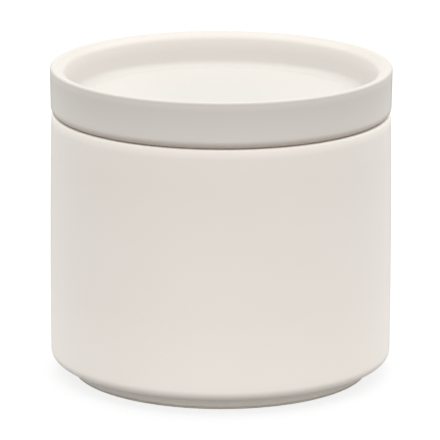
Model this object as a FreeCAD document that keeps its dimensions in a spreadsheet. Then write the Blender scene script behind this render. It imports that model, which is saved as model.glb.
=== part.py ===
"""Round stoneware jar with a lift-off lid.

Three pieces, drawn closed, in millimetres, +Z up, origin at the middle of the foot's underside:
  jar        glazed pot on a recessed foot ring
  lid        shallow tray with a rounded rim, and a plug ring under it that drops into the jar's mouth
  seal_ring  soft ring with lips, in a channel round the plug
"""

import FreeCAD
import Part
import Sketcher
import os

OUTPUT_FOLDER = "parts"

SIZES = {
    # jar, outside
    "jar_height": 81.7,
    "jar_rim_radius": 52.1,
    "jar_spread": 0.5,
    "jar_belly": 0.25,
    "jar_corner_rounding": 3.2,
    # jar, inside
    "jar_wall": 4.9,
    "jar_floor": 6.0,
    "cavity_corner_rounding": 6.0,
    "mouth_outer_rounding": 0.7,
    "mouth_inner_rounding": 0.8,
    # foot ring and the hollow inside it
    "foot_height": 4.0,
    "foot_inset": 6.7,
    "foot_width": 5.2,
    "foot_hollow": 3.0,
    "foot_neck_rounding": 0.8,
    "foot_edge_rounding": 0.6,
    "foot_hollow_rounding": 2.0,
    # lid, above the jar's rim
    "lid_height": 14.4,
    "lid_overhang": 0.15,
    "lid_flare": 0.2,
    "lid_lower_rounding": 2.4,
    "rim_outer_rounding": 0.8,
    "rim_land": 0.15,
    "rim_inner_rounding": 4.0,
    "tray_depth": 9.9,
    "tray_wall_lean": 4.95,
    "tray_corner_rounding": 3.8,
    "lid_plate": 4.2,
    # plug ring under the lid
    "plug_land": 2.2,
    "plug_clearance": 1.2,
    "plug_wall": 4.4,
    "plug_neck_rounding": 0.5,
    "plug_edge_rounding": 1.1,
    "plug_ceiling_rounding": 1.6,
    # channel in the plug, and the seal in it
    "channel_drop": 1.7,
    "channel_height": 3.3,
    "channel_depth": 1.3,
    "seal_play": 0.05,
    "lip_clearance": 0.1,
    "seal_edge_rounding": 0.15,
    # how far a cut runs past the surface that it opens
    "overrun": 2.0,
}
LIP_COUNT = 2
# Where a lip starts in its part of the band, how thick it is at its root and at its tip, and how far its
# tip stands above its root, all as shares of that part's height.
LIP_START_SHARE = 0.2
LIP_ROOT_SHARE = 0.44
LIP_TIP_SHARE = 0.22
LIP_RISE_SHARE = 0.22
FULL_TURN = 360
EDGE_MATCH = 1e-4
CUBIC_MM_IN_CUBIC_CM = 1000

doc = FreeCAD.newDocument("stoneware_jar")


def make_size_sheet():
    """The driving sizes, one named cell each."""
    sheet = doc.addObject("Spreadsheet::Sheet", "Sizes")
    for row, (name, size) in enumerate(SIZES.items(), start=1):
        sheet.set(f"A{row}", name)
        sheet.set(f"B{row}", str(size))
        sheet.setAlias(f"B{row}", name)
    doc.recompute()
    return sheet


sheet = make_size_sheet()


def size(name):
    """A named size, as it is written in an expression."""
    if name not in SIZES:
        raise KeyError(name)
    return f"Sizes.{name}"


def worth(expression):
    """What an expression of named sizes comes to, in mm."""
    found = sheet.evalExpression(expression)
    return float(getattr(found, "Value", found))


def new_body(label):
    body = doc.addObject("PartDesign::Body", label)
    body.Label = label
    return body


def origin_plane(body, role):
    return next(f for f in body.Origin.OriginFeatures if f.Role == role)


def section_sketch(body, name, corners, bulges=None):
    """Closed half section on the XZ plane, each corner held by its radius and height.

    corners are pairs of expressions (radius, height), and "0" puts a corner on the axis or the base line.
    bulges gives the radius of an arc, as an expression, for the side that starts at that corner.
    """
    bulges = bulges or {}
    sketch = body.newObject("Sketcher::SketchObject", name)
    sketch.AttachmentSupport = [(origin_plane(body, "XZ_Plane"), "")]
    sketch.MapMode = "FlatFace"
    places = [FreeCAD.Vector(worth(r), worth(z), 0) for r, z in corners]
    count = len(corners)
    for i, start in enumerate(places):
        end = places[(i + 1) % count]
        if i in bulges:
            sketch.addGeometry(outward_arc(start, end, worth(bulges[i])))
        else:
            sketch.addGeometry(Part.LineSegment(start, end))
    for i in range(count):
        sketch.addConstraint(Sketcher.Constraint("Coincident", i, 2, (i + 1) % count, 1))
    for i, (r, z) in enumerate(corners):
        hold_corner(sketch, i, "DistanceX", r, axis=-2)
        hold_corner(sketch, i, "DistanceY", z, axis=-1)
    for i, radius in bulges.items():
        index = sketch.addConstraint(Sketcher.Constraint("Radius", i, worth(radius)))
        sketch.setExpression(f"Constraints[{index}]", radius)
    doc.recompute()
    return sketch


def outward_arc(start, end, radius):
    """Arc from start up to end that bows away from the axis."""
    chord = end - start
    middle = (start + end) / 2
    inward = FreeCAD.Vector(-chord.y, chord.x, 0).normalize()
    reach = (radius**2 - (chord.Length / 2) ** 2) ** 0.5
    crown = middle + inward * (reach - radius)
    return Part.Arc(start, crown, end)


def hold_corner(sketch, side, direction, expression, axis):
    """Ties the start of a side to the origin along one direction."""
    if expression == "0":
        sketch.addConstraint(Sketcher.Constraint("PointOnObject", side, 1, axis))
        return
    constraint = Sketcher.Constraint(direction, -1, 1, side, 1, worth(expression))
    index = sketch.addConstraint(constraint)
    sketch.setExpression(f"Constraints[{index}]", expression)


def turn(body, name, sketch, kind="PartDesign::Revolution"):
    """Turns a half section round the axis, to add or to cut."""
    before = body.Shape.Volume if body.Tip else None
    feature = body.newObject(kind, name)
    feature.Profile = (sketch, [""])
    feature.ReferenceAxis = (sketch, ["V_Axis"])
    feature.Angle = FULL_TURN
    doc.recompute()
    if kind == "PartDesign::Groove" and not feature.Shape.Volume < before:
        raise RuntimeError(f"{name} cuts nothing")
    return feature


def cut(body, name, corners):
    """Turned hollow, from its half section."""
    return turn(body, name, section_sketch(body, f"{name}_section", corners), "PartDesign::Groove")


def round_edge(body, name, radius, height, rounding):
    """Rounds the ring-shaped edge at that radius and height."""
    tip = body.Tip
    wanted_radius, wanted_height = worth(radius), worth(height)
    for number, edge in enumerate(tip.Shape.Edges, start=1):
        ring = edge.Curve
        if (
            isinstance(ring, Part.Circle)
            and abs(ring.Radius - wanted_radius) < EDGE_MATCH
            and abs(ring.Center.z - wanted_height) < EDGE_MATCH
        ):
            break
    else:
        raise RuntimeError(f"{name}: no edge at radius {wanted_radius}, height {wanted_height}")
    fillet = body.newObject("PartDesign::Fillet", name)
    fillet.Base = (tip, [f"Edge{number}"])
    fillet.setExpression("Radius", rounding)
    doc.recompute()
    return fillet


# Radii and heights that two pieces share. Each piece has its own heights: the jar's from the foot's
# underside, the lid's and the seal's from the jar's rim, where the lid rests.
rim_radius = size("jar_rim_radius")
mouth_radius = f"({rim_radius} - {size('jar_wall')})"
plug_radius = f"({mouth_radius} - {size('plug_clearance')})"
channel_radius = f"({plug_radius} - {size('channel_depth')})"
channel_top = f"(-{size('channel_drop')})"
channel_bottom = f"({channel_top} - {size('channel_height')})"


def make_jar():
    """Pot with a faintly bellied wall, a rounded bottom corner and a foot ring set well in."""
    body = new_body("jar")
    height = size("jar_height")
    base_radius = f"({rim_radius} + {size('jar_spread')})"
    foot_height = size("foot_height")
    foot_radius = f"({base_radius} - {size('foot_inset')})"
    foot_inner_radius = f"({foot_radius} - {size('foot_width')})"
    hollow_top = size("foot_hollow")
    cavity_floor = f"({hollow_top} + {size('jar_floor')})"

    # The wall is one shallow arc: its radius follows from its chord and from how far it bows out.
    belly = size("jar_belly")
    chord_squared = f"(({height} - {foot_height})^2 + ({base_radius} - {rim_radius})^2)"
    wall_arc_radius = f"({chord_squared} / (8 * {belly}) + {belly} / 2)"

    outline = section_sketch(
        body,
        "jar_outline",
        [
            ("0", "0"),
            (foot_radius, "0"),
            (foot_radius, foot_height),
            (base_radius, foot_height),
            (rim_radius, height),
            ("0", height),
        ],
        bulges={3: wall_arc_radius},
    )
    turn(body, "jar_blank", outline)
    above_rim = f"({height} + {size('overrun')})"
    cut(
        body,
        "cavity",
        [
            ("0", cavity_floor),
            (mouth_radius, cavity_floor),
            (mouth_radius, above_rim),
            ("0", above_rim),
        ],
    )
    below_foot = f"(-{size('overrun')})"
    cut(
        body,
        "foot_hollow",
        [
            ("0", below_foot),
            (foot_inner_radius, below_foot),
            (foot_inner_radius, hollow_top),
            ("0", hollow_top),
        ],
    )
    round_edge(body, "cavity_corner", mouth_radius, cavity_floor, size("cavity_corner_rounding"))
    round_edge(body, "bottom_corner", base_radius, foot_height, size("jar_corner_rounding"))
    round_edge(body, "foot_neck", foot_radius, foot_height, size("foot_neck_rounding"))
    round_edge(body, "foot_outer_edge", foot_radius, "0", size("foot_edge_rounding"))
    round_edge(body, "foot_inner_edge", foot_inner_radius, "0", size("foot_edge_rounding"))
    round_edge(body, "hollow_corner", foot_inner_radius, hollow_top, size("foot_hollow_rounding"))
    round_edge(body, "mouth_outer_edge", rim_radius, height, size("mouth_outer_rounding"))
    round_edge(body, "mouth_inner_edge", mouth_radius, height, size("mouth_inner_rounding"))
    return body


def make_lid():
    """Shallow tray whose shoulder lies on the jar's rim, with a plug ring below the shoulder."""
    body = new_body("lid")
    top = size("lid_height")
    shoulder_radius = f"({rim_radius} + {size('lid_overhang')})"
    outer_radius = f"({shoulder_radius} + {size('lid_flare')})"

    # The tray's wall leans out, so the rounding at its top takes up less of the rim than its own radius.
    wall_steepness = f"atan({size('tray_depth')} / {size('tray_wall_lean')})"
    inner_rounding_width = f"({size('rim_inner_rounding')} * tan({wall_steepness} / 2))"
    rim_width = f"({size('rim_outer_rounding')} + {size('rim_land')} + {inner_rounding_width})"
    tray_radius = f"({outer_radius} - {rim_width})"
    tray_floor_radius = f"({tray_radius} - {size('tray_wall_lean')})"
    tray_floor = f"({top} - {size('tray_depth')})"
    ceiling = f"({tray_floor} - {size('lid_plate')})"
    plug_bottom = f"({channel_bottom} - {size('plug_land')})"
    plug_inner_radius = f"({plug_radius} - {size('plug_wall')})"

    outline = section_sketch(
        body,
        "lid_outline",
        [
            ("0", plug_bottom),
            (plug_radius, plug_bottom),
            (plug_radius, "0"),
            (shoulder_radius, "0"),
            (outer_radius, top),
            ("0", top),
        ],
    )
    turn(body, "lid_blank", outline)
    above_top = f"({top} + {size('overrun')})"
    cut(
        body,
        "tray",
        [
            ("0", tray_floor),
            (tray_floor_radius, tray_floor),
            (tray_radius, top),
            (tray_radius, above_top),
            ("0", above_top),
        ],
    )
    below_plug = f"({plug_bottom} - {size('overrun')})"
    cut(
        body,
        "underside_hollow",
        [
            ("0", below_plug),
            (plug_inner_radius, below_plug),
            (plug_inner_radius, ceiling),
            ("0", ceiling),
        ],
    )
    past_plug = f"({plug_radius} + {size('overrun')})"
    cut(
        body,
        "seal_channel",
        [
            (channel_radius, channel_bottom),
            (past_plug, channel_bottom),
            (past_plug, channel_top),
            (channel_radius, channel_top),
        ],
    )
    round_edge(body, "tray_corner", tray_floor_radius, tray_floor, size("tray_corner_rounding"))
    round_edge(body, "rim_inner_edge", tray_radius, top, size("rim_inner_rounding"))
    round_edge(body, "rim_outer_edge", outer_radius, top, size("rim_outer_rounding"))
    round_edge(body, "lower_edge", shoulder_radius, "0", size("lid_lower_rounding"))
    round_edge(body, "plug_neck", plug_radius, "0", size("plug_neck_rounding"))
    round_edge(body, "plug_outer_edge", plug_radius, plug_bottom, size("plug_edge_rounding"))
    round_edge(body, "plug_inner_edge", plug_inner_radius, plug_bottom, size("plug_edge_rounding"))
    round_edge(body, "ceiling_corner", plug_inner_radius, ceiling, size("plug_ceiling_rounding"))
    body.setExpression("Placement.Base.z", size("jar_height"))
    return body


def make_seal_ring():
    """Band flush with the plug, with lips that rise outwards from it to the jar's mouth."""
    body = new_body("seal_ring")
    play = size("seal_play")
    inner_radius = f"({channel_radius} + {play})"
    lip_radius = f"({mouth_radius} - {size('lip_clearance')})"
    bottom = f"({channel_bottom} + {play})"
    top = f"({channel_top} - {play})"
    pitch = f"(({top} - {bottom}) / {LIP_COUNT})"

    tip_above_root_share = LIP_RISE_SHARE + (LIP_ROOT_SHARE - LIP_TIP_SHARE) / 2

    corners = [(inner_radius, bottom), (plug_radius, bottom)]
    for lip in range(LIP_COUNT):
        root = f"({bottom} + {pitch} * {lip + LIP_START_SHARE})"
        tip = f"({root} + {pitch} * {tip_above_root_share})"
        corners += [
            (plug_radius, root),
            (lip_radius, tip),
            (lip_radius, f"({tip} + {pitch} * {LIP_TIP_SHARE})"),
            (plug_radius, f"({root} + {pitch} * {LIP_ROOT_SHARE})"),
        ]
    corners += [(plug_radius, top), (inner_radius, top)]
    turn(body, "band_and_lips", section_sketch(body, "seal_section", corners))
    for name, radius, height in (
        ("band_lower_inner_edge", inner_radius, bottom),
        ("band_upper_inner_edge", inner_radius, top),
        ("band_lower_outer_edge", plug_radius, bottom),
        ("band_upper_outer_edge", plug_radius, top),
    ):
        round_edge(body, name, radius, height, size("seal_edge_rounding"))
    body.setExpression("Placement.Base.z", size("jar_height"))
    return body


def check_document(bodies):
    """Stops if any object failed, or if a piece isn't one sound solid."""
    doc.recompute()
    for item in doc.Objects:
        if {"Invalid", "Error"} & set(item.State):
            raise RuntimeError(f"{item.Label} failed: {item.State}")
    for body in bodies:
        shape = body.Shape
        if shape.isNull() or not shape.isValid() or len(shape.Solids) != 1:
            raise RuntimeError(f"{body.Label} isn't one sound solid")


def write_pieces(bodies):
    os.makedirs(OUTPUT_FOLDER, exist_ok=True)
    for body in bodies:
        body.Shape.exportStep(os.path.join(OUTPUT_FOLDER, f"{body.Label}.step"))
        box = body.Shape.optimalBoundingBox(True, True)
        print(
            f"{body.Label}: volume {body.Shape.Volume / CUBIC_MM_IN_CUBIC_CM:.1f} cm3, "
            f"across {box.XLength:.2f}, from {box.ZMin:.2f} to {box.ZMax:.2f}"
        )


pieces = [make_jar(), make_lid(), make_seal_ring()]
check_document(pieces)
write_pieces(pieces)
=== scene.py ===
import math

import bmesh
import bpy
from mathutils import Matrix, Vector


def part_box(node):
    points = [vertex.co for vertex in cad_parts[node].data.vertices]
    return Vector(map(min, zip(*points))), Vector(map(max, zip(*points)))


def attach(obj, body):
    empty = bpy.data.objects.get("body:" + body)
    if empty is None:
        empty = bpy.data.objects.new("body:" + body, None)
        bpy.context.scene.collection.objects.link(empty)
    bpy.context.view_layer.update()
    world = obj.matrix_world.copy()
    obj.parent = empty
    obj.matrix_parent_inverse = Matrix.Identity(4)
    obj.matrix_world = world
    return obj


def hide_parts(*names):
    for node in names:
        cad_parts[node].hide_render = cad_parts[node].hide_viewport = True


# Plain lidded stoneware jar. Outlines are in mm, as radius and height over the standing plane, and are
# turned round the axis and brought to metres at the end.
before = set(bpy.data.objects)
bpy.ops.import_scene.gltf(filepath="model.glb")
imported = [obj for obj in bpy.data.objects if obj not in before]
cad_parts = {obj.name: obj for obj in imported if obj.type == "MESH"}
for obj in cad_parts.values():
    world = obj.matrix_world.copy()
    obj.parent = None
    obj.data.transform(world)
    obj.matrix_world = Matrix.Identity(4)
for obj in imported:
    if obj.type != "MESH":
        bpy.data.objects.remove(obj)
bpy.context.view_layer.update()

MM = 0.001

# Heights that the frame gives, in mm
FOOT_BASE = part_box("jar")[0].z / MM
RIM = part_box("jar")[1].z / MM
PLUG_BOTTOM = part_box("lid")[0].z / MM
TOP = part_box("lid")[1].z / MM
SEAL_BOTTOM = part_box("seal_ring")[0].z / MM
SEAL_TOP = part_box("seal_ring")[1].z / MM

# Jar: the wall bows out a little between its base and its rim, a hair less than the CAD's, to stay in its box
RIM_RADIUS = 52.1
WALL_BASE_RADIUS = 52.6
BELLY = 0.248
WALL_BASE = 4.0
MOUTH_RADIUS = 47.2
CAVITY_FLOOR = 9.0
FOOT_RADIUS = 45.9
FOOT_INNER_RADIUS = 40.7
FOOT_HOLLOW = 3.0

# Lid
SHOULDER_RADIUS = 52.25
LID_RADIUS = 52.45
TRAY_RADIUS = 49.03
TRAY_FLOOR_RADIUS = 44.08
TRAY_DEPTH = 9.9
LID_PLATE = 4.2
PLUG_RADIUS = 46.0
PLUG_INNER_RADIUS = 41.6
TRAY_FLOOR = TOP - TRAY_DEPTH
CEILING = TRAY_FLOOR - LID_PLATE

# Channel in the plug and the ring in it
CHANNEL_RADIUS = 44.7
CHANNEL_TOP = RIM - 1.7
CHANNEL_BOTTOM = RIM - 5.0
SEAL_INNER_RADIUS = 44.75
LIP_RADIUS = 47.1
LIP_COUNT = 2
# Each lip has its own part of the band's height. As shares of that part: where the lip starts, and how far
# over its start the lower and the upper edge of its tip and the upper edge of its root are
LIP_START = 0.2
LIP_TIP_LOW = 0.33
LIP_TIP_HIGH = 0.55
LIP_ROOT_HIGH = 0.44

# Roundings
FOOT_EDGE = 0.5
FOOT_NECK = 0.8
FOOT_HOLLOW_CORNER = 2.0
BOTTOM_CORNER = 3.2
MOUTH_OUTER_EDGE = 0.7
MOUTH_INNER_EDGE = 0.8
CAVITY_CORNER = 6.0
TRAY_CORNER = 3.8
TRAY_RIM_INNER_EDGE = 4.0
TRAY_RIM_OUTER_EDGE = 0.8
LID_LOWER_EDGE = 2.4
PLUG_NECK = 0.5
PLUG_EDGE = 0.8
CEILING_CORNER = 1.6
CHANNEL_EDGE = 0.2
GLAZE_EDGE = 0.12
BAND_EDGE = 0.15
LIP_ROOT_EDGE = 0.08
LIP_TIP_EDGE = 0.12

# Glaze: its thickness shows as a low step where it stops short of the clay that stood in the kiln
GLAZE_THICKNESS = 0.14
GLAZE_LINE = 0.8

# Rings that the turning tool left under the foot, in the pot and under the lid, fading outwards
RING_PITCH = 6.4
RING_DEPTH = 0.06
RING_REACH = 38.0

# Fineness of the turned meshes
ROUND_STEPS = 288
ARC_STEP = 0.45
ARC_LEAST_SEGMENTS = 6
STRAIGHT_STEP = 1.6
MERGE_DISTANCE = 0.001
SAME_PLACE = 0.01


def rounded_outline(bm, corners, closed):
    """Wire outline in the XZ plane through corners of (radius, height, rounding), rounded as true arcs."""
    points = [bm.verts.new((radius, 0, height)) for radius, height, _ in corners]
    places = [point.co.copy() for point in points]
    ends = points[1:] + points[:1] if closed else points[1:]
    for start, end in zip(points, ends):
        bm.edges.new((start, end))
    for i, (_, _, rounding) in enumerate(corners):
        if not rounding:
            continue
        arriving = places[i] - places[i - 1]
        leaving = places[(i + 1) % len(places)] - places[i]
        turn = arriving.angle(leaving)
        bmesh.ops.bevel(
            bm,
            geom=[points[i]],
            offset=rounding * math.tan(turn / 2),
            offset_type="OFFSET",
            segments=max(ARC_LEAST_SEGMENTS, round(rounding * turn / ARC_STEP)),
            profile=0.5,
            affect="VERTICES",
        )
    for edge in bm.edges[:]:
        cuts = int(edge.calc_length() / STRAIGHT_STEP)
        if cuts:
            bmesh.ops.subdivide_edges(bm, edges=[edge], cuts=cuts)


def turned_piece(name, corners, closed=False, shape_outline=None, mark_bare=None):
    """Piece turned round the axis. mark_bare says by radius and height, in mm, which faces are bare clay."""
    bm = bmesh.new()
    rounded_outline(bm, corners, closed)
    if shape_outline:
        shape_outline(bm)
    bmesh.ops.spin(
        bm,
        geom=bm.verts[:] + bm.edges[:],
        cent=(0, 0, 0),
        axis=(0, 0, 1),
        angle=math.tau,
        steps=ROUND_STEPS,
        use_merge=True,
    )
    bmesh.ops.remove_doubles(bm, verts=bm.verts, dist=MERGE_DISTANCE)
    bmesh.ops.recalc_face_normals(bm, faces=bm.faces)
    for face in bm.faces:
        face.smooth = True
        if mark_bare:
            centre = face.calc_center_median()
            face.material_index = int(mark_bare(Vector((centre.x, centre.y)).length, centre.z))
    bmesh.ops.scale(bm, vec=(MM, MM, MM), verts=bm.verts)
    mesh = bpy.data.meshes.new(name)
    bm.to_mesh(mesh)
    bm.free()
    piece = bpy.data.objects.new(name, mesh)
    bpy.context.scene.collection.objects.link(piece)
    return piece


def bow_wall(bm):
    """Bows the jar's wall out between its base and its rim."""
    for point in bm.verts:
        share = (point.co.z - WALL_BASE) / (RIM - WALL_BASE)
        if 0 < share < 1 and point.co.x > (MOUTH_RADIUS + RIM_RADIUS) / 2:
            point.co.x += BELLY * 4 * share * (1 - share)


def turning_rings(bm, height):
    """Shallow waves in the flat round face at that height."""
    for point in bm.verts:
        if abs(point.co.z - height) < SAME_PLACE and point.co.x < RING_REACH:
            fading = 1 - point.co.x / RING_REACH
            point.co.z += RING_DEPTH * fading * math.sin(math.tau * point.co.x / RING_PITCH)


def bare_zone(inner_radius, outer_radius, glaze_line):
    """Test for bare clay: between the radii and not over the glaze line, with room for rounding errors."""
    return lambda radius, height: (
        inner_radius - SAME_PLACE < radius < outer_radius + SAME_PLACE and height < glaze_line + SAME_PLACE
    )


def make_jar():
    """Pot on a foot ring, glazed down to a line just above the ring's standing face."""
    bare_outer = FOOT_RADIUS - GLAZE_THICKNESS
    bare_inner = FOOT_INNER_RADIUS + GLAZE_THICKNESS
    corners = [
        (0, FOOT_HOLLOW, 0),
        (FOOT_INNER_RADIUS, FOOT_HOLLOW, FOOT_HOLLOW_CORNER),
        (FOOT_INNER_RADIUS, GLAZE_LINE, GLAZE_EDGE),
        (bare_inner, GLAZE_LINE, 0),
        (bare_inner, FOOT_BASE, FOOT_EDGE),
        (bare_outer, FOOT_BASE, FOOT_EDGE),
        (bare_outer, GLAZE_LINE, 0),
        (FOOT_RADIUS, GLAZE_LINE, GLAZE_EDGE),
        (FOOT_RADIUS, WALL_BASE, FOOT_NECK),
        (WALL_BASE_RADIUS, WALL_BASE, BOTTOM_CORNER),
        (RIM_RADIUS, RIM, MOUTH_OUTER_EDGE),
        (MOUTH_RADIUS, RIM, MOUTH_INNER_EDGE),
        (MOUTH_RADIUS, CAVITY_FLOOR, CAVITY_CORNER),
        (0, CAVITY_FLOOR, 0),
    ]

    def shape(bm):
        bow_wall(bm)
        turning_rings(bm, FOOT_HOLLOW)
        turning_rings(bm, CAVITY_FLOOR)

    bare = bare_zone(bare_inner, bare_outer, GLAZE_LINE)
    return turned_piece("jar_shell", corners, shape_outline=shape, mark_bare=bare)


def make_lid():
    """Tray with a rounded rim, and the plug under it with its channel, bare along the plug's lower edge."""
    glaze_line = PLUG_BOTTOM + GLAZE_LINE
    bare_outer = PLUG_RADIUS - GLAZE_THICKNESS
    bare_inner = PLUG_INNER_RADIUS + GLAZE_THICKNESS
    corners = [
        (0, TRAY_FLOOR, 0),
        (TRAY_FLOOR_RADIUS, TRAY_FLOOR, TRAY_CORNER),
        (TRAY_RADIUS, TOP, TRAY_RIM_INNER_EDGE),
        (LID_RADIUS, TOP, TRAY_RIM_OUTER_EDGE),
        (SHOULDER_RADIUS, RIM, LID_LOWER_EDGE),
        (PLUG_RADIUS, RIM, PLUG_NECK),
        (PLUG_RADIUS, CHANNEL_TOP, CHANNEL_EDGE),
        (CHANNEL_RADIUS, CHANNEL_TOP, CHANNEL_EDGE),
        (CHANNEL_RADIUS, CHANNEL_BOTTOM, CHANNEL_EDGE),
        (PLUG_RADIUS, CHANNEL_BOTTOM, CHANNEL_EDGE),
        (PLUG_RADIUS, glaze_line, GLAZE_EDGE),
        (bare_outer, glaze_line, 0),
        (bare_outer, PLUG_BOTTOM, PLUG_EDGE),
        (bare_inner, PLUG_BOTTOM, PLUG_EDGE),
        (bare_inner, glaze_line, 0),
        (PLUG_INNER_RADIUS, glaze_line, GLAZE_EDGE),
        (PLUG_INNER_RADIUS, CEILING, CEILING_CORNER),
        (0, CEILING, 0),
    ]

    def shape(bm):
        turning_rings(bm, CEILING)

    bare = bare_zone(bare_inner, bare_outer, glaze_line)
    return turned_piece("lid_shell", corners, shape_outline=shape, mark_bare=bare)


def make_seal_ring():
    """Soft ring: a band with thin lips that rise outwards to the jar's mouth."""
    pitch = (SEAL_TOP - SEAL_BOTTOM) / LIP_COUNT
    corners = [(SEAL_INNER_RADIUS, SEAL_BOTTOM, BAND_EDGE), (PLUG_RADIUS, SEAL_BOTTOM, BAND_EDGE)]
    for lip in range(LIP_COUNT):
        start = SEAL_BOTTOM + pitch * (lip + LIP_START)
        corners += [
            (PLUG_RADIUS, start, LIP_ROOT_EDGE),
            (LIP_RADIUS, start + pitch * LIP_TIP_LOW, LIP_TIP_EDGE),
            (LIP_RADIUS, start + pitch * LIP_TIP_HIGH, LIP_TIP_EDGE),
            (PLUG_RADIUS, start + pitch * LIP_ROOT_HIGH, LIP_ROOT_EDGE),
        ]
    corners += [(PLUG_RADIUS, SEAL_TOP, BAND_EDGE), (SEAL_INNER_RADIUS, SEAL_TOP, BAND_EDGE)]
    return turned_piece("silicone_ring", corners, closed=True)


def linear(hex_colour):
    """sRGB hex colour as linear RGBA."""
    shares = [int(hex_colour[i : i + 2], 16) / 255 for i in (1, 3, 5)]
    return [s / 12.92 if s <= 0.04045 else ((s + 0.055) / 1.055) ** 2.4 for s in shares] + [1]


def add_node(tree, kind, inputs=None, **settings):
    """Adds a node. inputs gives, by socket, a value or the output of another node."""
    node = tree.nodes.new(kind)
    for name, value in settings.items():
        setattr(node, name, value)
    for socket, value in (inputs or {}).items():
        if isinstance(value, bpy.types.NodeSocket):
            tree.links.new(value, node.inputs[socket])
        else:
            node.inputs[socket].default_value = value
    return node


def new_material(name):
    """Empty node material and its tree."""
    material = bpy.data.materials.new(name)
    material.use_nodes = True
    material.node_tree.nodes.clear()
    return material, material.node_tree


# Satin glaze: sizes of its cloudy drift, slow swell and fine crystals in mm, and its gloss
CLOUD_SIZE = 38
CLOUD_TINT = "#FCFBF9"
SWELL_SIZE = 7
SWELL_HEIGHT = 0.02
CRYSTAL_SIZE = 0.9
CRYSTAL_HEIGHT = 0.001
GLAZE_ROUGHNESS = (0.32, 0.38)
GLAZE_IOR = 1.5
GLAZE_SHINE = 0.5
# Shine where the glaze is seen along its surface, in the tray and on the walls, and the range of turning
# away from the eye, from 0 for square on to 1 for edge on, in which it takes over
TRAY_GRAZING_SHINE = 0.45
WALL_GRAZING_SHINE = 0.0
GRAZING_TURN = (0.5, 0.9)

# Bare clay and silicone, in mm too
SAND_SIZE = 0.6
SAND_HEIGHT = 0.05
CLAY_TONES = ("#D2C6B4", "#E2D9CA")
CLAY_ROUGHNESS = 0.85
HAZE_SIZE = 4
SILICONE_TONES = ("#DAD7CE", "#E6E3DB")
SILICONE_ROUGHNESS = 0.38
SILICONE_IOR = 1.41

# Tones of the glazes by height in mm, with painted light and shade in them. On the jar: painted shade under
# the bottom corner, painted light from the floor that whitens the low wall and fades upwards, and a painted
# highlight along the mouth's outer edge.
JAR_HEIGHT_TONES = (
    (WALL_BASE - 1.0, "#E8E2DA"),
    (WALL_BASE + 0.2, "#DAD2C8"),
    (WALL_BASE + 3.4, "#F8F2EB"),
    (WALL_BASE + 26, "#EFE9E2"),
    (RIM - 12, "#E7E1DA"),
    (RIM - 3.2, "#E8E2DB"),
    (RIM - 1.2, "#F3EDE6"),
)
# Lid: darker and browner over its lower edge by the seam, lighter low on its side with painted light from
# below, a painted highlight on the rim's inner rounding, and painted shade on the rim's top.
LID_HEIGHT_TONES = (
    (RIM - 0.3, "#D0CBC4"),
    (RIM, "#B9AFA5"),
    (RIM + 1.3, "#BCB4AB"),
    (RIM + 2.7, "#D6D1CA"),
    (RIM + 5.3, "#D4CFC8"),
    (RIM + 9.0, "#D0CBC4"),
    (TOP - 2.9, "#CEC9C2"),
    (TOP - 1.3, "#D3CEC7"),
    (TOP - 0.5, "#CBC6BF"),
)
# Inside the walls the tone goes by radius: the tray's flat floor is painted greyer, painted shade against the
# overhead light that falls on it, and the inner edge of the rim is painted lighter, a painted highlight.
JAR_RADIUS_TONES = ((0, "#E8E2DB"), (FOOT_INNER_RADIUS, "#E8E2DB"), (FOOT_RADIUS, "#E8E2DA"))
LID_RADIUS_TONES = (
    (0, "#C4C1BC"),
    (12, "#C4C1BC"),
    (TRAY_FLOOR_RADIUS - TRAY_CORNER, "#CDCAC4"),
    (TRAY_RADIUS - 2.6, "#CBC6C0"),
    (TRAY_RADIUS - 0.4, "#D6D1CB"),
)
# Radii between which the tone by radius gives way to the tone by height
WALL_ZONE_START = MOUTH_RADIUS
WALL_ZONE_END = MOUTH_RADIUS + 3.0


def tone_along(tree, length, tones):
    """Colour that changes along a length in metres, by tones at so many mm."""
    span = tones[-1][0] - tones[0][0]
    share = add_node(
        tree,
        "ShaderNodeMapRange",
        {"Value": length, "From Min": tones[0][0] * MM, "From Max": tones[-1][0] * MM},
    )
    ramp = add_node(tree, "ShaderNodeValToRGB", {"Fac": share.outputs["Result"]})
    stops = ramp.color_ramp.elements
    while len(stops) < len(tones):
        stops.new(1)
    for stop, (level, hex_colour) in zip(stops, tones):
        stop.position = (level - tones[0][0]) / span
        stop.color = linear(hex_colour)
    return ramp.outputs["Color"]


def grain_of(tree, place, size, detail):
    """Noise with lumps of that size in mm."""
    lumps = {"Vector": place, "Scale": 1 / (size * MM), "Detail": detail}
    return add_node(tree, "ShaderNodeTexNoise", lumps).outputs["Fac"]


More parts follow.
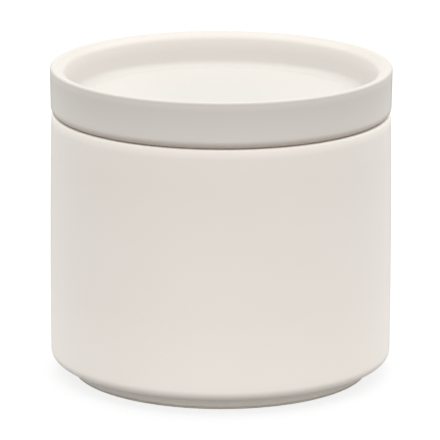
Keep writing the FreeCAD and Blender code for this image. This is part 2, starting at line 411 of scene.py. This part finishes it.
def satin_glaze(name, height_tones, radius_tones):
    """Satin glaze on stoneware: fine crystals break up the shine, and the tone drifts a little. The tones by
    height and by radius carry painted light and shade.
    """
    material, tree = new_material(name)
    place = add_node(tree, "ShaderNodeTexCoord").outputs["Object"]
    level = add_node(tree, "ShaderNodeSeparateXYZ", {"Vector": place})
    flat = add_node(tree, "ShaderNodeVectorMath", {0: place, 1: (1, 1, 0)}, operation="MULTIPLY")
    reach = add_node(tree, "ShaderNodeVectorMath", {0: flat.outputs["Vector"]}, operation="LENGTH")
    outside = add_node(
        tree,
        "ShaderNodeMapRange",
        {
            "Value": reach.outputs["Value"],
            "From Min": WALL_ZONE_START * MM,
            "From Max": WALL_ZONE_END * MM,
        },
    )
    # Tone by radius inside the walls and by height outside them, with painted light and shade in both
    tone_with_painted_light = add_node(
        tree,
        "ShaderNodeMix",
        {
            "Factor": outside.outputs["Result"],
            "A": tone_along(tree, reach.outputs["Value"], radius_tones),
            "B": tone_along(tree, level.outputs["Z"], height_tones),
        },
        data_type="RGBA",
    )
    clouds = grain_of(tree, place, CLOUD_SIZE, detail=3.0)
    tone = add_node(
        tree,
        "ShaderNodeMix",
        {"Factor": clouds, "A": tone_with_painted_light.outputs[2], "B": linear(CLOUD_TINT)},
        data_type="RGBA",
        blend_type="MULTIPLY",
    )
    crystals = grain_of(tree, place, CRYSTAL_SIZE, detail=4.0)
    roughness = add_node(
        tree,
        "ShaderNodeMapRange",
        {"Value": crystals, "To Min": GLAZE_ROUGHNESS[0], "To Max": GLAZE_ROUGHNESS[1]},
    )
    # Seen along the surface, the crystals hide one another and the shine weakens, most of all on the walls.
    grazing_shine = add_node(
        tree,
        "ShaderNodeMapRange",
        {
            "Value": reach.outputs["Value"],
            "From Min": TRAY_RADIUS * MM,
            "From Max": RIM_RADIUS * MM,
            "To Min": TRAY_GRAZING_SHINE,
            "To Max": WALL_GRAZING_SHINE,
        },
    )
    view = add_node(tree, "ShaderNodeLayerWeight", {"Blend": 0.5})
    shine = add_node(
        tree,
        "ShaderNodeMapRange",
        {
            "Value": view.outputs["Facing"],
            "From Min": GRAZING_TURN[0],
            "From Max": GRAZING_TURN[1],
            "To Min": GLAZE_SHINE,
            "To Max": grazing_shine.outputs["Result"],
        },
    )
    swell = grain_of(tree, place, SWELL_SIZE, detail=2.0)
    skin = add_node(tree, "ShaderNodeBump", {"Height": swell, "Distance": SWELL_HEIGHT * MM})
    grain = add_node(
        tree,
        "ShaderNodeBump",
        {"Height": crystals, "Distance": CRYSTAL_HEIGHT * MM, "Normal": skin.outputs["Normal"]},
    )
    surface = add_node(
        tree,
        "ShaderNodeBsdfPrincipled",
        {
            "Base Color": tone.outputs[2],
            "Roughness": roughness.outputs["Result"],
            "IOR": GLAZE_IOR,
            "Specular IOR Level": shine.outputs["Result"],
            "Normal": grain.outputs["Normal"],
        },
    )
    add_node(tree, "ShaderNodeOutputMaterial", {"Surface": surface.outputs["BSDF"]})
    return material


def bare_stoneware():
    """Unglazed fired clay, wiped clean and rubbed smooth: dull, with a fine sandy grain."""
    material, tree = new_material("bare_stoneware")
    place = add_node(tree, "ShaderNodeTexCoord").outputs["Object"]
    sand = grain_of(tree, place, SAND_SIZE, detail=6.0)
    tone = add_node(
        tree,
        "ShaderNodeMix",
        {"Factor": sand, "A": linear(CLAY_TONES[0]), "B": linear(CLAY_TONES[1])},
        data_type="RGBA",
    )
    grain = add_node(tree, "ShaderNodeBump", {"Height": sand, "Distance": SAND_HEIGHT * MM})
    surface = add_node(
        tree,
        "ShaderNodeBsdfPrincipled",
        {"Base Color": tone.outputs[2], "Roughness": CLAY_ROUGHNESS, "Normal": grain.outputs["Normal"]},
    )
    add_node(tree, "ShaderNodeOutputMaterial", {"Surface": surface.outputs["BSDF"]})
    return material


def moulded_silicone():
    """Milky silicone rubber from a matt mould: soft sheen, faint cloudiness."""
    material, tree = new_material("moulded_silicone")
    place = add_node(tree, "ShaderNodeTexCoord").outputs["Object"]
    haze = grain_of(tree, place, HAZE_SIZE, detail=2.0)
    tone = add_node(
        tree,
        "ShaderNodeMix",
        {"Factor": haze, "A": linear(SILICONE_TONES[0]), "B": linear(SILICONE_TONES[1])},
        data_type="RGBA",
    )
    surface = add_node(
        tree,
        "ShaderNodeBsdfPrincipled",
        {"Base Color": tone.outputs[2], "Roughness": SILICONE_ROUGHNESS, "IOR": SILICONE_IOR},
    )
    add_node(tree, "ShaderNodeOutputMaterial", {"Surface": surface.outputs["BSDF"]})
    return material


def dress(piece, body, node, slot, *materials):
    """Gives a piece its materials and its place in the frame."""
    for material in materials:
        piece.data.materials.append(material)
    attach(piece, body)
    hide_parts(node)


# Floor and light, in metres and watts, but the floor's drop below the standing plane is in mm. The floor is
# white to the eye, and lights the jar from below as a pale grey table does.
FLOOR_SIZE = 6.0
FLOOR_DROP = 0.02
FLOOR_GLOW_SHARE = 0.8
FLOOR_WHITE = [0.9, 0.9, 0.9, 1]
FLOOR_BOUNCE = [0.36, 0.36, 0.36, 1]
WORLD_STRENGTH = 1.43
# Brightness of the surroundings from the left side over the middle to the right side
SIDE_SHARES = ((0, 0.34), (0.2, 0.88), (0.5, 1.0), (0.8, 0.94), (1, 0.4))
SOFTBOX_WATTS = 7.3
SOFTBOX_SIZE = (2.2, 0.9)
SOFTBOX_PLACE = (0.12, 0.4, 1.0)


def seen_directly(tree):
    """1 for what the camera sees, straight or in gloss or glass, and 0 for light that falls on the object."""
    path = add_node(tree, "ShaderNodeLightPath")
    mirrored = add_node(
        tree,
        "ShaderNodeMath",
        {0: path.outputs["Is Camera Ray"], 1: path.outputs["Is Glossy Ray"]},
        operation="MAXIMUM",
    )
    return add_node(
        tree,
        "ShaderNodeMath",
        {0: mirrored.outputs[0], 1: path.outputs["Is Transmission Ray"]},
        operation="MAXIMUM",
    ).outputs[0]


def make_floor():
    """White table that keeps a soft shadow and runs on into the white background."""
    bm = bmesh.new()
    below = Matrix.Translation((0, 0, -FLOOR_DROP * MM))
    bmesh.ops.create_grid(bm, x_segments=1, y_segments=1, size=FLOOR_SIZE / 2, matrix=below)
    mesh = bpy.data.meshes.new("table_top")
    bm.to_mesh(mesh)
    bm.free()
    floor = bpy.data.objects.new("table_top", mesh)
    bpy.context.scene.collection.objects.link(floor)
    material, tree = new_material("white_table")
    white = add_node(tree, "ShaderNodeBsdfDiffuse", {"Color": FLOOR_WHITE})
    glow = add_node(tree, "ShaderNodeEmission", {"Color": linear("#FFFFFF"), "Strength": 1.0})
    seen = add_node(
        tree,
        "ShaderNodeMixShader",
        {0: FLOOR_GLOW_SHARE, 1: white.outputs[0], 2: glow.outputs[0]},
    )
    bounce = add_node(tree, "ShaderNodeBsdfDiffuse", {"Color": FLOOR_BOUNCE})
    surface = add_node(
        tree,
        "ShaderNodeMixShader",
        {0: seen_directly(tree), 1: bounce.outputs[0], 2: seen.outputs[0]},
    )
    add_node(tree, "ShaderNodeOutputMaterial", {"Surface": surface.outputs[0]})
    mesh.materials.append(material)


def make_world():
    """White surroundings that dim to their sides, which draws the jar's edges. Seen as plain white."""
    world = bpy.data.worlds.new("white_studio")
    bpy.context.scene.world = world
    world.use_nodes = True
    tree = world.node_tree
    tree.nodes.clear()
    outwards = add_node(tree, "ShaderNodeTexCoord").outputs["Object"]
    sideways = add_node(tree, "ShaderNodeSeparateXYZ", {"Vector": outwards}).outputs["X"]
    share = add_node(tree, "ShaderNodeMapRange", {"Value": sideways, "From Min": -1.0, "From Max": 1.0})
    dimming = add_node(tree, "ShaderNodeValToRGB", {"Fac": share.outputs["Result"]})
    stops = dimming.color_ramp.elements
    while len(stops) < len(SIDE_SHARES):
        stops.new(1)
    for stop, (place, brightness) in zip(stops, SIDE_SHARES):
        stop.position = place
        stop.color = [brightness, brightness, brightness, 1]
    lighting = add_node(
        tree,
        "ShaderNodeMath",
        {0: dimming.outputs["Color"], 1: WORLD_STRENGTH},
        operation="MULTIPLY",
    )
    strength = add_node(
        tree,
        "ShaderNodeMapRange",
        {"Value": seen_directly(tree), "To Min": lighting.outputs[0], "To Max": 1.0},
    )
    light = add_node(
        tree,
        "ShaderNodeBackground",
        {"Color": linear("#FFFFFF"), "Strength": strength.outputs[0]},
    )
    add_node(tree, "ShaderNodeOutputWorld", {"Surface": light.outputs[0]})


def make_softbox():
    """Wide soft lamp overhead, a little behind the jar."""
    lamp = bpy.data.lights.new("overhead_softbox", "AREA")
    lamp.shape = "RECTANGLE"
    lamp.size, lamp.size_y = SOFTBOX_SIZE
    lamp.energy = SOFTBOX_WATTS
    holder = bpy.data.objects.new("overhead_softbox", lamp)
    holder.location = SOFTBOX_PLACE
    bpy.context.scene.collection.objects.link(holder)


# Camera, fitted to the photograph. Lengths are in mm, places in the photograph in its pixels.
PHOTO_WIDTH = 440
SENSOR_WIDTH = 36
AIM_HEIGHT = 44.7
AIM_X_PX = 220.8
AIM_Y_PX = 227.8
PX_PER_MM = 3.2335
CAMERA_DISTANCE = 1276.0
CAMERA_ELEVATION = math.radians(14.5)
CAMERA_TILT = 0.0032


def make_camera():
    """Long lens that looks at the jar's axis from a little above."""
    data = bpy.data.cameras.new("photo_camera")
    data.sensor_width = SENSOR_WIDTH
    data.lens = PX_PER_MM * CAMERA_DISTANCE / PHOTO_WIDTH * SENSOR_WIDTH
    data.shift_x = (PHOTO_WIDTH / 2 - AIM_X_PX) / PHOTO_WIDTH
    data.shift_y = (AIM_Y_PX - PHOTO_WIDTH / 2) / PHOTO_WIDTH
    camera = bpy.data.objects.new("photo_camera", data)
    back = Vector((0, -math.cos(CAMERA_ELEVATION), math.sin(CAMERA_ELEVATION)))
    look = (-back).to_track_quat("-Z", "Y").to_matrix().to_4x4()
    place = Matrix.Translation(Vector((0, 0, AIM_HEIGHT * MM)) + back * CAMERA_DISTANCE * MM)
    camera.matrix_world = place @ look @ Matrix.Rotation(CAMERA_TILT, 4, "Z")
    bpy.context.scene.collection.objects.link(camera)
    bpy.context.scene.camera = camera


jar_glaze = satin_glaze("jar_satin_glaze", JAR_HEIGHT_TONES, JAR_RADIUS_TONES)
lid_glaze = satin_glaze("lid_satin_glaze", LID_HEIGHT_TONES, LID_RADIUS_TONES)
clay = bare_stoneware()
dress(make_jar(), "jar", "jar", "jar_glaze", jar_glaze, clay)
dress(make_lid(), "lid", "lid", "lid_glaze", lid_glaze, clay)
dress(make_seal_ring(), "seal_ring", "seal_ring", "seal_silicone", moulded_silicone())

make_floor()
make_world()
make_softbox()
make_camera()
bpy.context.scene.view_settings.view_transform = "Standard"
